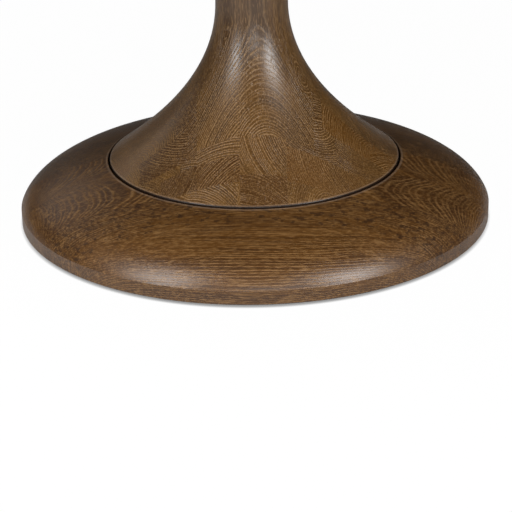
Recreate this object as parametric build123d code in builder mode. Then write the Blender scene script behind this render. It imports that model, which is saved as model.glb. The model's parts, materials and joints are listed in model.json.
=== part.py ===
"""Round pedestal table: a domed base disc, a turned trumpet pedestal and a thick round top.

Millimetres, +Z up. The origin is on the floor, in the middle of the table.
"""

import os
from math import cos, radians, sin, tan

from build123d import *

# ---- driving dimensions -------------------------------------------------------------

table_height = 762.0
floor_gap = 4.0  # the pads hold the base this far off the floor

# table top
top_diameter = 1524.0
top_thickness = 45.0
top_band = 24.0  # height of the plain edge band
top_undercut = 120.0  # how far in the underside reaches its full depth
top_undercut_reach = 60.0
top_undercut_angle = 40.0  # of the underside where it meets the band
top_undercut_turn = 18.0
top_edge_round = 3.0

# base disc
base_diameter = 914.0
base_band = 27.0  # height of the plain edge band
base_height = 114.0  # underside to the lip round the foot
base_foot_chamfer = 2.0
dome_start_angle = 67.0  # of the dome where it leaves the band, from level
dome_start_reach = 44.0
dome_end_angle = 14.5  # of the dome at the lip
dome_end_reach = 96.0
lip_round = 2.0

# pedestal
foot_diameter = 562.0
foot_edge = 12.0  # plain edge that stands in the base's recess
foot_edge_round = 1.6
trumpet_angle = 35.0  # of the flare where it leaves the foot's edge
trumpet_reach = 143.0
neck_diameter = 137.5
neck_height = 428.0  # floor to the narrowest place
neck_length = 22.0
neck_lower_reach = 125.0
neck_upper_reach = 125.0
head_diameter = 360.0
head_edge = 12.0
head_edge_round = 2.0
head_angle = 40.0
head_reach = 66.0

# shadow groove between the foot and the base
groove_width = 2.5
foot_recess_depth = 10.0

# glued-in plywood discs and the hollow core
foot_block_diameter = 340.0
foot_block_thickness = 40.0
head_block_diameter = 210.0
head_block_thickness = 40.0
core_mouth_diameter = 300.0
core_height = 190.0
core_mouth_reach = 90.0
core_neck_reach = 80.0

# steel plates
mounting_plate_diameter = 450.0
mounting_plate_thickness = 6.0
base_plate_diameter = 400.0
base_plate_thickness = 8.0
base_pocket_depth = 30.0
plate_edge_round = 1.0
thread_end_chamfer = 1.0  # of bolts, channel screws and the tie rod

# tie rod and its nuts
rod_diameter = 16.0
rod_bore_diameter = 19.0
rod_washer_diameter = 50.0
rod_washer_thickness = 3.0
rod_nut_across = 24.0
rod_nut_height = 13.0
rod_end = 3.0  # rod left standing past each nut
nut_pocket_diameter = 62.0
nut_pocket_depth = 24.0

# top bolts, from below through the plate's rim
top_bolt_count = 8
top_bolt_inset = 20.0  # from the mounting plate's edge to a bolt's middle
top_bolt_diameter = 8.0
top_bolt_length = 30.0
top_bolt_head_diameter = 14.0
top_bolt_head_height = 4.4
top_bolt_key = 5.0
top_bolt_key_depth = 2.6
top_washer_diameter = 20.0
top_washer_thickness = 1.6
top_insert_diameter = 13.0
top_insert_length = 25.0

# base bolts, from below through the base plate
base_bolt_count = 6
base_bolt_inset = 40.0  # from the foot block's edge to a bolt's middle
base_bolt_diameter = 10.0
base_bolt_length = 108.0
base_bolt_across = 16.0
base_bolt_head_height = 6.4
base_washer_diameter = 24.0
base_washer_thickness = 2.0
foot_insert_diameter = 15.0
foot_insert_length = 25.0

# dowels between base and foot
dowel_count = 4
dowel_start_angle = 45.0  # of the first dowel, from the X axis
dowel_inset = 51.0  # from the foot's edge to a dowel's middle
dowel_diameter = 12.0
dowel_length = 36.0
dowel_end_chamfer = 1.0

# wood screws
head_screw_count = 8
head_screw_inset = 25.0  # from the head block's edge to a screw's middle
head_screw_length = 38.0
plate_screw_count = 6
plate_screw_inset = 17.0  # from the base plate's edge to a screw's middle
plate_screw_length = 32.0
screw_diameter = 5.0
screw_head_diameter = 10.0
screw_head_angle = 90.0
screw_tip = 5.0
screw_tip_width = 1.0
screw_key = 3.0
screw_key_depth = 1.8

# stiffening channels under the top
channel_offset = 330.0
channel_length = 1040.0
channel_width = 50.0
channel_height = 14.0
channel_wall = 3.0
channel_bend = 4.0
channel_screw_count = 5
channel_screw_pitch = 235.0
channel_screw_length = 24.0
channel_screw_head_height = 3.0
channel_slot_length = 14.0

# levelling feet
leveller_count = 6
leveller_inset = 62.0  # from the base's edge to a leveller's middle
leveller_well_diameter = 42.0
leveller_well_depth = 14.0
pad_diameter = 34.0
pad_height = 10.0
pad_rim_chamfer = 2.5
ball_diameter = 10.0
ball_depth = 3.5  # of the ball's middle below the pad's top
stud_diameter = 8.0
stud_tip_chamfer = 1.0
stud_length = 34.0
stud_collar_across = 13.0
leveller_insert_diameter = 13.0
leveller_insert_length = 26.0
leveller_flange_diameter = 26.0
leveller_flange_thickness = 1.5

# clearances
running_fit = 0.05  # radial, between a shaft and what it turns in
seat_gap = 0.3  # between faces that move apart
bolt_play = 0.5  # radial, round a bolt in a plain hole
let_in_play = 1.0  # round steel let into wood
hole_extra = 4.0  # blind holes go this much deeper than what fills them
edge_tolerance = 0.1  # how near to a height an edge must lie to be found there

# ---- places worked out from them ----------------------------------------------------

base_bottom = floor_gap
leveller_circle = base_diameter - 2 * leveller_inset
top_bolt_circle = mounting_plate_diameter - 2 * top_bolt_inset
base_bolt_circle = foot_block_diameter - 2 * base_bolt_inset
head_screw_circle = head_block_diameter - 2 * head_screw_inset
plate_screw_circle = base_plate_diameter - 2 * plate_screw_inset
dowel_circle = foot_diameter - 2 * dowel_inset
lip_level = base_bottom + base_height
recess_floor = lip_level - foot_recess_depth
recess_radius = foot_diameter / 2 + groove_width
top_under = table_height - top_thickness
head_top = top_under - mounting_plate_thickness
base_pocket_roof = base_bottom + base_pocket_depth
base_plate_under = base_pocket_roof - base_plate_thickness
foot_block_top = recess_floor + foot_block_thickness
head_block_bottom = head_top - head_block_thickness
well_roof = base_bottom + leveller_well_depth
collar_top = well_roof - leveller_flange_thickness - seat_gap
channel_roof = top_under + channel_height
screw_head_depth = (screw_head_diameter - screw_diameter) / 2 / tan(radians(screw_head_angle / 2))

os.makedirs("parts", exist_ok=True)


def save(piece, label):
    """Name a finished piece and write it to its own file."""
    piece.part.label = label
    export_step(piece.part, f"parts/{label}.step")


def add_screw(length):
    """At the current locations, a countersunk screw: its head's face on the plane, its shank below."""
    from_top = (Align.CENTER, Align.CENTER, Align.MAX)
    Cone(screw_diameter / 2, screw_head_diameter / 2, screw_head_depth, align=from_top)
    Cylinder(screw_diameter / 2, length - screw_tip, align=from_top)
    with Locations((0, 0, screw_tip - length)):
        Cone(screw_tip_width / 2, screw_diameter / 2, screw_tip, align=from_top)


def edges_at(piece, level):
    """The round edges of a piece that lie at a height."""
    rims = piece.edges().filter_by(GeomType.CIRCLE)
    return rims.filter_by_position(Axis.Z, level - edge_tolerance, level + edge_tolerance)


def along(start, angle, reach):
    """The point at this reach from a start, at an angle in degrees from the radius."""
    return (start[0] + reach * cos(radians(angle)), start[1] + reach * sin(radians(angle)))


# ---- base disc ----------------------------------------------------------------------

band_top = (base_diameter / 2, base_bottom + base_band)
lip = (recess_radius, lip_level)

with BuildPart() as base_disc:
    with BuildSketch(Plane.XZ) as base_section:
        with BuildLine():
            Polyline((0, recess_floor), (0, base_bottom), (base_diameter / 2, base_bottom), band_top)
            Bezier(
                band_top,
                along(band_top, 180 - dome_start_angle, dome_start_reach),
                along(lip, -dome_end_angle, dome_end_reach),
                lip,
            )
            Polyline(lip, (recess_radius, recess_floor), (0, recess_floor))
        make_face()
    revolve(axis=Axis.Z)
    lip_edge = base_disc.edges().filter_by(GeomType.CIRCLE).group_by(Axis.Z)[-1]
    fillet(lip_edge, lip_round)
    under_edge = base_disc.edges().filter_by(GeomType.CIRCLE).group_by(Axis.Z)[0]
    chamfer(under_edge, base_foot_chamfer)
    # pocket for the base plate and the bolt heads
    with BuildSketch(Plane.XY.offset(base_bottom)):
        Circle(base_plate_diameter / 2 + let_in_play)
    extrude(amount=base_pocket_depth, mode=Mode.SUBTRACT)
    # wells and stud holes for the levelling feet
    with BuildSketch(Plane.XY.offset(base_bottom)):
        with PolarLocations(leveller_circle / 2, leveller_count):
            Circle(leveller_well_diameter / 2)
    extrude(amount=leveller_well_depth, mode=Mode.SUBTRACT)
    with BuildSketch(Plane.XY.offset(well_roof)):
        with PolarLocations(leveller_circle / 2, leveller_count):
            Circle(leveller_insert_diameter / 2 + running_fit)
    extrude(amount=stud_length + hole_extra, mode=Mode.SUBTRACT)
    # through holes for the tie rod and the base bolts
    with BuildSketch(Plane.XY.offset(base_pocket_roof)):
        Circle(rod_bore_diameter / 2)
        with PolarLocations(base_bolt_circle / 2, base_bolt_count):
            Circle(base_bolt_diameter / 2 + bolt_play)
    extrude(amount=recess_floor - base_pocket_roof, mode=Mode.SUBTRACT)
    # pilot holes for the plate's screws
    with BuildSketch(Plane.XY.offset(base_pocket_roof)):
        with PolarLocations(plate_screw_circle / 2, plate_screw_count):
            Circle(screw_diameter / 2 + running_fit)
    extrude(amount=plate_screw_length, mode=Mode.SUBTRACT)
    # dowel holes in the recess
    with BuildSketch(Plane.XY.offset(recess_floor)):
        with PolarLocations(dowel_circle / 2, dowel_count, start_angle=dowel_start_angle):
            Circle(dowel_diameter / 2 + running_fit)
    extrude(amount=-dowel_length / 2, mode=Mode.SUBTRACT)
save(base_disc, "base_disc")

# ---- pedestal -----------------------------------------------------------------------

foot_edge_top = (foot_diameter / 2, recess_floor + foot_edge)
neck_start = (neck_diameter / 2, neck_height)
neck_end = (neck_diameter / 2, neck_height + neck_length)
head_rim = (head_diameter / 2, head_top - head_edge)

with BuildPart() as pedestal:
    with BuildSketch(Plane.XZ) as pedestal_section:
        with BuildLine():
            Polyline((0, head_top), (0, recess_floor), (foot_diameter / 2, recess_floor), foot_edge_top)
            Bezier(
                foot_edge_top,
                along(foot_edge_top, 180 - trumpet_angle, trumpet_reach),
                along(neck_start, -90, neck_lower_reach),
                neck_start,
            )
            Line(neck_start, neck_end)
            Bezier(
                neck_end,
                along(neck_end, 90, neck_upper_reach),
                along(head_rim, 180 + head_angle, head_reach),
                head_rim,
            )
            Polyline(head_rim, (head_diameter / 2, head_top), (0, head_top))
        make_face()
    revolve(axis=Axis.Z)
    fillet(edges_at(pedestal, foot_edge_top[1]), foot_edge_round)
    fillet(edges_at(pedestal, head_rim[1]), head_edge_round)
    # rebates for the two plywood discs
    with BuildSketch(Plane.XY.offset(recess_floor)):
        Circle(foot_block_diameter / 2 + running_fit)
    extrude(amount=foot_block_thickness, mode=Mode.SUBTRACT)
    with BuildSketch(Plane.XY.offset(head_top)):
        Circle(head_block_diameter / 2 + running_fit)
    extrude(amount=-head_block_thickness, mode=Mode.SUBTRACT)
    # bell-shaped hollow over the foot block, and the rod's bore
    core_mouth = (core_mouth_diameter / 2, foot_block_top)
    core_tip = (rod_bore_diameter / 2, foot_block_top + core_height)
    with BuildSketch(Plane.XZ) as core_section:
        with BuildLine():
            Polyline(core_tip, (0, core_tip[1]), (0, foot_block_top), core_mouth)
            Bezier(
                core_mouth,
                along(core_mouth, 180 - trumpet_angle, core_mouth_reach),
                along(core_tip, -90, core_neck_reach),
                core_tip,
            )
        make_face()
    revolve(axis=Axis.Z, mode=Mode.SUBTRACT)
    with BuildSketch(Plane.XY.offset(recess_floor)):
        Circle(rod_bore_diameter / 2)
    extrude(amount=head_top - recess_floor, mode=Mode.SUBTRACT)
    with BuildSketch(Plane.XY.offset(recess_floor)):
        with PolarLocations(dowel_circle / 2, dowel_count, start_angle=dowel_start_angle):
            Circle(dowel_diameter / 2 + running_fit)
    extrude(amount=dowel_length / 2, mode=Mode.SUBTRACT)
save(pedestal, "pedestal")

with BuildPart() as foot_block:
    with BuildSketch(Plane.XY.offset(recess_floor)):
        Circle(foot_block_diameter / 2)
        Circle(rod_bore_diameter / 2, mode=Mode.SUBTRACT)
    extrude(amount=foot_block_thickness)
    with BuildSketch(Plane.XY.offset(recess_floor)):
        with PolarLocations(base_bolt_circle / 2, base_bolt_count):
            Circle(foot_insert_diameter / 2 + running_fit)
    extrude(amount=foot_insert_length + hole_extra, mode=Mode.SUBTRACT)
save(foot_block, "foot_block")

with BuildPart() as head_block:
    with BuildSketch(Plane.XY.offset(head_block_bottom)):
        Circle(head_block_diameter / 2)
        Circle(rod_bore_diameter / 2, mode=Mode.SUBTRACT)
        with PolarLocations(head_screw_circle / 2, head_screw_count):
            Circle(screw_diameter / 2 + running_fit, mode=Mode.SUBTRACT)
    extrude(amount=head_block_thickness)
save(head_block, "head_block")

with BuildPart() as foot_inserts:
    with BuildSketch(Plane.XY.offset(recess_floor)):
        with PolarLocations(base_bolt_circle / 2, base_bolt_count):
            Circle(foot_insert_diameter / 2)
            Circle(base_bolt_diameter / 2 + running_fit, mode=Mode.SUBTRACT)
    extrude(amount=foot_insert_length)
save(foot_inserts, "foot_inserts")

with BuildPart() as registration_dowels:
    with BuildSketch(Plane.XY.offset(recess_floor - dowel_length / 2)):
        with PolarLocations(dowel_circle / 2, dowel_count, start_angle=dowel_start_angle):
            Circle(dowel_diameter / 2)
    extrude(amount=dowel_length)
    chamfer(registration_dowels.edges().filter_by(GeomType.CIRCLE), dowel_end_chamfer)
save(registration_dowels, "registration_dowels")

# ---- table top ----------------------------------------------------------------------

under_start = (top_diameter / 2 - top_undercut, top_under)
band_foot = (top_diameter / 2, table_height - top_band)

with BuildPart() as tabletop:
    with BuildSketch(Plane.XZ) as top_section:
        with BuildLine():
            Polyline((0, table_height), (0, top_under), under_start)
            Bezier(
                under_start,
                along(under_start, 0, top_undercut_reach),
                along(band_foot, 180 + top_undercut_angle, top_undercut_turn),
                band_foot,
            )
            Polyline(band_foot, (top_diameter / 2, table_height), (0, table_height))
        make_face()
    revolve(axis=Axis.Z)
    top_rim = tabletop.edges().filter_by(GeomType.CIRCLE).group_by(Axis.Z)[-1]
    fillet(top_rim, top_edge_round)
    # pocket for the tie rod's nut
    with BuildSketch(Plane.XY.offset(top_under)):
        Circle(nut_pocket_diameter / 2)
    extrude(amount=nut_pocket_depth, mode=Mode.SUBTRACT)
    # holes for the threaded inserts
    with BuildSketch(Plane.XY.offset(top_under)):
        with PolarLocations(top_bolt_circle / 2, top_bolt_count):
            Circle(top_insert_diameter / 2 + running_fit)
    extrude(amount=top_insert_length + hole_extra, mode=Mode.SUBTRACT)
    # slots for the channels, and pilot holes for their screws
    with BuildSketch(Plane.XY.offset(top_under)):
        with GridLocations(2 * channel_offset, 0, 2, 1):
            Rectangle(channel_width + 2 * let_in_play, channel_length + 2 * let_in_play)
    extrude(amount=channel_height, mode=Mode.SUBTRACT)
    with BuildSketch(Plane.XY.offset(channel_roof)):
        with GridLocations(2 * channel_offset, channel_screw_pitch, 2, channel_screw_count):
            Circle(screw_diameter / 2 + running_fit)
    extrude(amount=channel_screw_length, mode=Mode.SUBTRACT)
save(tabletop, "tabletop")

with BuildPart() as tabletop_inserts:
    with BuildSketch(Plane.XY.offset(top_under)):
        with PolarLocations(top_bolt_circle / 2, top_bolt_count):
            Circle(top_insert_diameter / 2)
            Circle(top_bolt_diameter / 2 + running_fit, mode=Mode.SUBTRACT)
    extrude(amount=top_insert_length)
save(tabletop_inserts, "tabletop_inserts")

for side, x in (("left", -channel_offset), ("right", channel_offset)):
    with BuildPart() as channel:
        with BuildSketch(Plane.XY.offset(top_under)):
            with Locations((x, 0)):
                Rectangle(channel_width, channel_length)
        extrude(amount=channel_height)
        bends = channel.edges().filter_by(Axis.Y).group_by(Axis.Z)[-1]
        fillet(bends, channel_bend)
        with BuildSketch(Plane.XY.offset(top_under)):
            with Locations((x, 0)):
                Rectangle(channel_width - 2 * channel_wall, channel_length)
        extrude(amount=channel_height - channel_wall, mode=Mode.SUBTRACT)
        with BuildSketch(Plane.XY.offset(channel_roof)):
            with Locations((x, 0)):
                with GridLocations(0, channel_screw_pitch, 1, channel_screw_count):
                    SlotOverall(channel_slot_length, screw_diameter + 2 * bolt_play, rotation=90)
        extrude(amount=-channel_wall, mode=Mode.SUBTRACT)
    save(channel, f"stiffener_channel_{side}")

with BuildPart() as channel_screws:
    with BuildSketch(Plane.XY.offset(channel_roof - channel_wall)):
        with GridLocations(2 * channel_offset, channel_screw_pitch, 2, channel_screw_count):
            Circle(screw_head_diameter / 2)
            RegularPolygon(screw_key / 2, 6, major_radius=False, mode=Mode.SUBTRACT)
    extrude(amount=-channel_screw_head_height)
    with BuildSketch(Plane.XY.offset(channel_roof - channel_wall)):
        with GridLocations(2 * channel_offset, channel_screw_pitch, 2, channel_screw_count):
            Circle(screw_diameter / 2)
    extrude(amount=channel_screw_length)
    tips = channel_screws.edges().filter_by(GeomType.CIRCLE).group_by(Axis.Z)[-1]
    chamfer(tips, thread_end_chamfer)
save(channel_screws, "channel_screws")

# ---- mounting plate and what fastens it ---------------------------------------------

with BuildPart() as mounting_plate:
    with BuildSketch(Plane.XY.offset(head_top)):
        Circle(mounting_plate_diameter / 2)
        Circle(rod_diameter / 2 + bolt_play, mode=Mode.SUBTRACT)
        with PolarLocations(top_bolt_circle / 2, top_bolt_count):
            Circle(top_bolt_diameter / 2 + bolt_play, mode=Mode.SUBTRACT)
    extrude(amount=mounting_plate_thickness)
    rim = mounting_plate.edges().filter_by(GeomType.CIRCLE).sort_by(SortBy.RADIUS)[-2:]
    fillet(rim, plate_edge_round)
    with Locations(Plane.XY.offset(top_under)):
        with PolarLocations(head_screw_circle / 2, head_screw_count):
            CounterSinkHole(
                screw_diameter / 2 + running_fit,
                screw_head_diameter / 2 + running_fit,
                mounting_plate_thickness,
                screw_head_angle,
            )
save(mounting_plate, "mounting_plate")

with BuildPart(Plane.XY.offset(top_under)) as head_screws:
    with PolarLocations(head_screw_circle / 2, head_screw_count):
        add_screw(head_screw_length)
    with BuildSketch(Plane.XY.offset(top_under)):
        with PolarLocations(head_screw_circle / 2, head_screw_count):
            RegularPolygon(screw_key / 2, 6, major_radius=False)
    extrude(amount=-screw_key_depth, mode=Mode.SUBTRACT)
save(head_screws, "head_screws")

top_washer_under = head_top - top_washer_thickness

with BuildPart() as top_bolt_washers:
    with BuildSketch(Plane.XY.offset(top_washer_under)):
        with PolarLocations(top_bolt_circle / 2, top_bolt_count):
            Circle(top_washer_diameter / 2)
            Circle(top_bolt_diameter / 2 + bolt_play, mode=Mode.SUBTRACT)
    extrude(amount=top_washer_thickness)
save(top_bolt_washers, "top_bolt_washers")

with BuildPart() as top_bolts:
    with BuildSketch(Plane.XY.offset(top_washer_under)):
        with PolarLocations(top_bolt_circle / 2, top_bolt_count):
            Circle(top_bolt_head_diameter / 2)
    extrude(amount=-top_bolt_head_height)
    crowns = top_bolts.edges().filter_by(GeomType.CIRCLE).group_by(Axis.Z)[0]
    fillet(crowns, top_bolt_head_height / 2)
    with BuildSketch(Plane.XY.offset(top_washer_under)):
        with PolarLocations(top_bolt_circle / 2, top_bolt_count):
            Circle(top_bolt_diameter / 2)
    extrude(amount=top_bolt_length)
    with BuildSketch(Plane.XY.offset(top_washer_under - top_bolt_head_height)):
        with PolarLocations(top_bolt_circle / 2, top_bolt_count):
            RegularPolygon(top_bolt_key / 2, 6, major_radius=False)
    extrude(amount=top_bolt_key_depth, mode=Mode.SUBTRACT)
save(top_bolts, "top_bolts")

# ---- base plate and what fastens it -------------------------------------------------

with BuildPart() as base_plate:
    with BuildSketch(Plane.XY.offset(base_plate_under)):
        Circle(base_plate_diameter / 2)
        Circle(rod_diameter / 2 + bolt_play, mode=Mode.SUBTRACT)
        with PolarLocations(base_bolt_circle / 2, base_bolt_count):
            Circle(base_bolt_diameter / 2 + bolt_play, mode=Mode.SUBTRACT)
    extrude(amount=base_plate_thickness)
    rim = base_plate.edges().filter_by(GeomType.CIRCLE).sort_by(SortBy.RADIUS)[-2:]
    fillet(rim, plate_edge_round)
    with Locations(Plane(origin=(0, 0, base_plate_under), z_dir=(0, 0, -1))):
        with PolarLocations(plate_screw_circle / 2, plate_screw_count):
            CounterSinkHole(
                screw_diameter / 2 + running_fit,
                screw_head_diameter / 2 + running_fit,
                base_plate_thickness,
                screw_head_angle,
            )
save(base_plate, "base_plate")

with BuildPart(Plane(origin=(0, 0, base_plate_under), z_dir=(0, 0, -1))) as base_plate_screws:
    with PolarLocations(plate_screw_circle / 2, plate_screw_count):
        add_screw(plate_screw_length)
    with BuildSketch(Plane.XY.offset(base_plate_under)):
        with PolarLocations(plate_screw_circle / 2, plate_screw_count):
            RegularPolygon(screw_key / 2, 6, major_radius=False)
    extrude(amount=screw_key_depth, mode=Mode.SUBTRACT)
save(base_plate_screws, "base_plate_screws")

base_washer_under = base_plate_under - base_washer_thickness

with BuildPart() as base_bolt_washers:
    with BuildSketch(Plane.XY.offset(base_washer_under)):
        with PolarLocations(base_bolt_circle / 2, base_bolt_count):
            Circle(base_washer_diameter / 2)
            Circle(base_bolt_diameter / 2 + bolt_play, mode=Mode.SUBTRACT)
    extrude(amount=base_washer_thickness)
save(base_bolt_washers, "base_bolt_washers")

with BuildPart() as base_bolts:
    with BuildSketch(Plane.XY.offset(base_washer_under)):
        with PolarLocations(base_bolt_circle / 2, base_bolt_count):
            RegularPolygon(base_bolt_across / 2, 6, major_radius=False)
    extrude(amount=-base_bolt_head_height)
    with BuildSketch(Plane.XY.offset(base_washer_under)):
        with PolarLocations(base_bolt_circle / 2, base_bolt_count):
            Circle(base_bolt_diameter / 2)
    extrude(amount=base_bolt_length)
    tips = base_bolts.edges().filter_by(GeomType.CIRCLE).group_by(Axis.Z)[-1]
    chamfer(tips, thread_end_chamfer)
save(base_bolts, "base_bolts")

# ---- tie rod ------------------------------------------------------------------------

rod_stack = rod_washer_thickness + rod_nut_height + rod_end
rod_bottom = base_plate_under - rod_stack
rod_top = top_under + rod_stack

with BuildPart() as tie_rod:
    with BuildSketch(Plane.XY.offset(rod_bottom)):
        Circle(rod_diameter / 2)
    extrude(amount=rod_top - rod_bottom)
    chamfer(tie_rod.edges().filter_by(GeomType.CIRCLE), thread_end_chamfer)
save(tie_rod, "tie_rod")

for end, seat, way in (("top", top_under, 1), ("bottom", base_plate_under, -1)):
    with BuildPart() as washer:
        with BuildSketch(Plane.XY.offset(seat)):
            Circle(rod_washer_diameter / 2)
            Circle(rod_diameter / 2 + bolt_play, mode=Mode.SUBTRACT)
        extrude(amount=way * rod_washer_thickness)
    save(washer, f"tie_rod_{end}_washer")

    with BuildPart() as nut:
        with BuildSketch(Plane.XY.offset(seat + way * rod_washer_thickness)):
            RegularPolygon(rod_nut_across / 2, 6, major_radius=False)
            Circle(rod_diameter / 2 + running_fit, mode=Mode.SUBTRACT)
        extrude(amount=way * rod_nut_height)
    save(nut, f"tie_rod_{end}_nut")

# ---- levelling feet -----------------------------------------------------------------

with BuildPart() as leveller_inserts:
    with BuildSketch(Plane.XY.offset(well_roof)):
        with PolarLocations(leveller_circle / 2, leveller_count):
            Circle(leveller_insert_diameter / 2)
    extrude(amount=leveller_insert_length)
    with BuildSketch(Plane.XY.offset(well_roof)):
        with PolarLocations(leveller_circle / 2, leveller_count):
            Circle(leveller_flange_diameter / 2)
    extrude(amount=-leveller_flange_thickness)
    with BuildSketch(Plane.XY.offset(well_roof - leveller_flange_thickness)):
        with PolarLocations(leveller_circle / 2, leveller_count):
            Circle(stud_diameter / 2 + running_fit)
    extrude(amount=leveller_insert_length + leveller_flange_thickness, mode=Mode.SUBTRACT)
save(leveller_inserts, "leveller_inserts")

ball_middle = pad_height - ball_depth
collar_bottom = pad_height + seat_gap

for number, spot in enumerate(PolarLocations(leveller_circle / 2, leveller_count), start=1):
    x = spot.position.X
    y = spot.position.Y

    with BuildPart() as pad:
        with BuildSketch():
            with Locations((x, y)):
                Circle(pad_diameter / 2)
        extrude(amount=pad_height)
        pad_rim = pad.edges().group_by(Axis.Z)[-1]
        chamfer(pad_rim, pad_rim_chamfer)
        with Locations((x, y, ball_middle)):
            Sphere(ball_diameter / 2 + running_fit, mode=Mode.SUBTRACT)
    save(pad, f"leveller_pad_{number}")

    with BuildPart() as stud:
        with Locations((x, y, ball_middle)):
            Sphere(ball_diameter / 2)
        with BuildSketch(Plane.XY.offset(collar_bottom)):
            with Locations((x, y)):
                RegularPolygon(stud_collar_across / 2, 6, major_radius=False)
        extrude(amount=collar_top - collar_bottom)
        with BuildSketch(Plane.XY.offset(collar_top)):
            with Locations((x, y)):
                Circle(stud_diameter / 2)
        extrude(amount=stud_length)
        stud_tip = stud.edges().group_by(Axis.Z)[-1]
        chamfer(stud_tip, stud_tip_chamfer)
    save(stud, f"leveller_stud_{number}")
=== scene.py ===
import json
from math import acos, asin, cos, degrees, pi, radians, sin, tan

import bpy
from mathutils import Matrix, Vector


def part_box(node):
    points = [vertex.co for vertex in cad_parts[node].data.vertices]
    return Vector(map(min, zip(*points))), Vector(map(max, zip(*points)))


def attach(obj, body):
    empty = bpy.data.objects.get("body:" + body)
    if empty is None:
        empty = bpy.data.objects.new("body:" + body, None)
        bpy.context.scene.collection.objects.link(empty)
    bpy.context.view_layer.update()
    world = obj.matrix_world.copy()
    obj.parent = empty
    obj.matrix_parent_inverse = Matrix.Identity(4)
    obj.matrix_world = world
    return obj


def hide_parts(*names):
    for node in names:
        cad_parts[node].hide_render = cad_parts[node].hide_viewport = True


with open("model.json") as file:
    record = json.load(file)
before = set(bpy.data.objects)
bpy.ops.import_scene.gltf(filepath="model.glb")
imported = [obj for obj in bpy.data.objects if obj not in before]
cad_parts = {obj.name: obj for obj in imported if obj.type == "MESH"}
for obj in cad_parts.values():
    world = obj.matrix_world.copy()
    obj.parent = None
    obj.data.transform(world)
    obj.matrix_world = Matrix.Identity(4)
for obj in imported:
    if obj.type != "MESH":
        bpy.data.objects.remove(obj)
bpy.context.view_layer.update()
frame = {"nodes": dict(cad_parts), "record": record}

cameraSetup = {
    "lens": 140.6,          # mm, on a 36 mm sensor
    "distance": 3.659,      # from the table's axis
    "height": 1.480,
    "lookDown": 23.33,      # degrees below level
    "roll": -0.99,          # degrees
}


def makeCamera(setup):
    data = bpy.data.cameras.new("studioCamera")
    data.lens = setup["lens"]
    camera = bpy.data.objects.new("studioCamera", data)
    bpy.context.scene.collection.objects.link(camera)
    stand = Matrix.Translation((0, -setup["distance"], setup["height"]))
    tilt = Matrix.Rotation(radians(90 - setup["lookDown"]), 4, "X")
    camera.matrix_world = stand @ tilt @ Matrix.Rotation(radians(setup["roll"]), 4, "Z")
    bpy.context.scene.camera = camera


makeCamera(cameraSetup)
print("camera set")

# helpers that build node trees: each takes numbers or sockets, and gives back a socket or a list of them


def wire(tree, source, socket):
    if isinstance(source, bpy.types.NodeSocket):
        tree.links.new(source, socket)
    else:
        socket.default_value = source


def put(tree, kind, inputs=None, **settings):
    node = tree.nodes.new(kind)
    for name, value in settings.items():
        setattr(node, name, value)
    for key, source in (inputs or {}).items():
        wire(tree, source, node.inputs[key])
    return node.outputs


def calc(tree, operation, a, b=0.0, c=0.0):
    return put(tree, "ShaderNodeMath", {0: a, 1: b, 2: c}, operation=operation)[0]


def times(tree, *factors):
    product = factors[0]
    for factor in factors[1:]:
        product = calc(tree, "MULTIPLY", product, factor)
    return product


def calcVector(tree, operation, a, b=(0.0, 0.0, 0.0)):
    return put(tree, "ShaderNodeVectorMath", {0: a, 1: b}, operation=operation)["Vector"]


def scaled(tree, vector, factor):
    return put(tree, "ShaderNodeVectorMath", {0: vector, 3: factor}, operation="SCALE")[0]


def lengthOf(tree, x, y):
    return put(tree, "ShaderNodeVectorMath", {0: join(tree, x, y)}, operation="LENGTH")["Value"]


def blend(tree, share, a, b):
    return put(tree, "ShaderNodeMix", {0: share, 6: a, 7: b}, data_type="RGBA")[2]


def blendValue(tree, share, a, b):
    return put(tree, "ShaderNodeMix", {0: share, 2: a, 3: b})[0]


def blendVector(tree, share, a, b):
    return put(tree, "ShaderNodeMix", {0: share, 4: a, 5: b}, data_type="VECTOR")[1]


def ramp(tree, value, low, high, toLow=0.0, toHigh=1.0):
    inputs = {0: value, 1: low, 2: high, 3: toLow, 4: toHigh}
    return put(tree, "ShaderNodeMapRange", inputs, interpolation_type="SMOOTHSTEP")[0]


def noise(tree, vector, scale, detail=2.0, roughness=0.5):
    inputs = {"Vector": vector, "Scale": scale, "Detail": detail, "Roughness": roughness}
    return put(tree, "ShaderNodeTexNoise", inputs)


def noiseAlong(tree, value, scale):
    inputs = {"W": value, "Scale": scale, "Detail": 1.0}
    return put(tree, "ShaderNodeTexNoise", inputs, noise_dimensions="1D")["Fac"]


def split(tree, vector):
    return put(tree, "ShaderNodeSeparateXYZ", {0: vector})


def join(tree, x=0.0, y=0.0, z=0.0):
    return put(tree, "ShaderNodeCombineXYZ", {0: x, 1: y, 2: z})[0]


def startGroup(name, inputs, outputs, kind="ShaderNodeTree"):
    tree = bpy.data.node_groups.new(name, kind)
    for label, form, value in inputs:
        socket = tree.interface.new_socket(label, in_out="INPUT", socket_type="NodeSocket" + form)
        if value is not None:
            socket.default_value = value
    for label, form in outputs:
        tree.interface.new_socket(label, in_out="OUTPUT", socket_type="NodeSocket" + form)
    return tree, tree.nodes.new("NodeGroupInput").outputs, tree.nodes.new("NodeGroupOutput").inputs


def keyOf(label):
    # a socket called Plank Width takes the value plankWidth
    first, *others = label.split()
    return first.lower() + "".join(others)


def useGroup(tree, group, inputs, values=None):
    # what isn't in inputs is looked up in the values
    node = tree.nodes.new(tree.bl_idname.replace("Tree", "Group"))
    node.node_tree = group
    for socket in node.inputs:
        if socket.name in inputs:
            wire(tree, inputs[socket.name], socket)
        elif values is not None:
            socket.default_value = values[keyOf(socket.name)]
    return node.outputs


# shader groups for wood: how it is cut into planks, and how it grew


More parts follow.
